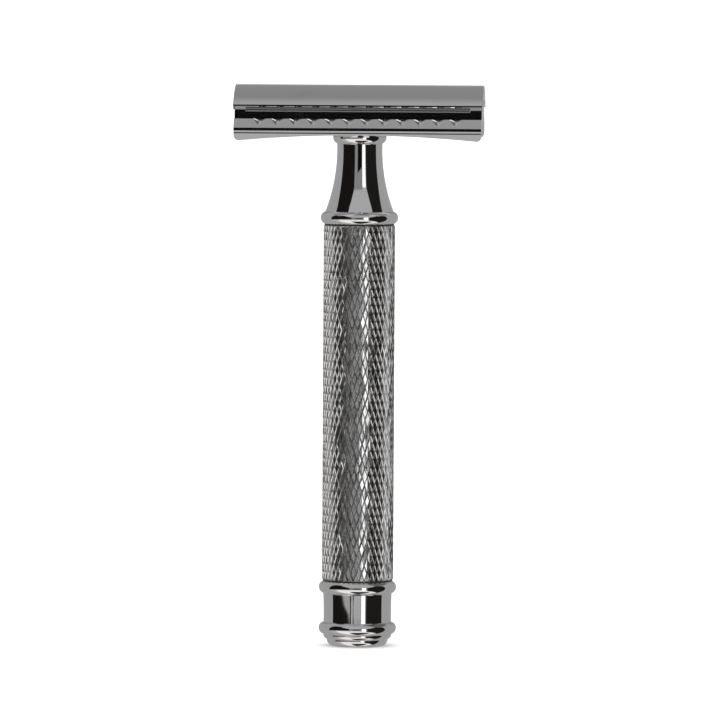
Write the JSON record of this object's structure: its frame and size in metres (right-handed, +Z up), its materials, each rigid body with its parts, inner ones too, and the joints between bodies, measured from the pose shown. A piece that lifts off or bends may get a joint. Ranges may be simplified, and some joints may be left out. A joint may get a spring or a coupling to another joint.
{
  "type": "safety razor",
  "caption": "Double-edge safety razor: a domed cap screws down through a blade and a scalloped guard plate into a knurled handle.",
  "frame": {"origin": "centre of the flat foot of the handle's end knob, where the razor stands upright", "axes": "+Z up the handle towards the head, X along the head and the blade, Y across the head towards one cutting edge"},
  "size_m": [0.0414, 0.025, 0.094],
  "materials": {
    "chrome": "polished",
    "knurled_chrome": "gloss",
    "blade_steel": "satin",
    "stud_steel": "satin",
    "seal_black": "satin"
  },
  "bodies": {
    "handle": {"neck": "chrome", "upper_seal": "seal_black", "grip_sleeve": "knurled_chrome", "lower_seal": "seal_black", "tie_rod": "stud_steel", "end_knob": "chrome"},
    "guard": {"base_plate": "chrome"},
    "cap": {"top_cap": "chrome", "center_stud": "stud_steel", "alignment_pin_left": "stud_steel", "alignment_pin_right": "stud_steel"},
    "blade": {"blade": "blade_steel"}
  },
  "joints": [
    {"name": "head_turn", "type": "hinge", "parent": "handle", "child": "guard", "pos_m": [0, 0, 0.0862], "axis": [0, 0, 1], "range_deg": [0, 3240]},
    {"name": "cap_lift", "type": "slide", "parent": "guard", "child": "cap", "axis": [0, 0, 1], "range_m": [0, 0.0073]},
    {"name": "blade_lift", "type": "slide", "parent": "guard", "child": "blade", "axis": [0, 0, 1], "range_m": [0, 0.0034]}
  ],
  "couplings": [
    {"joint": "cap_lift", "follows": "head_turn", "m_per_rad": 0.00012732},
    {"joint": "blade_lift", "follows": "head_turn", "m_per_rad": 0.000057296}
  ]
}
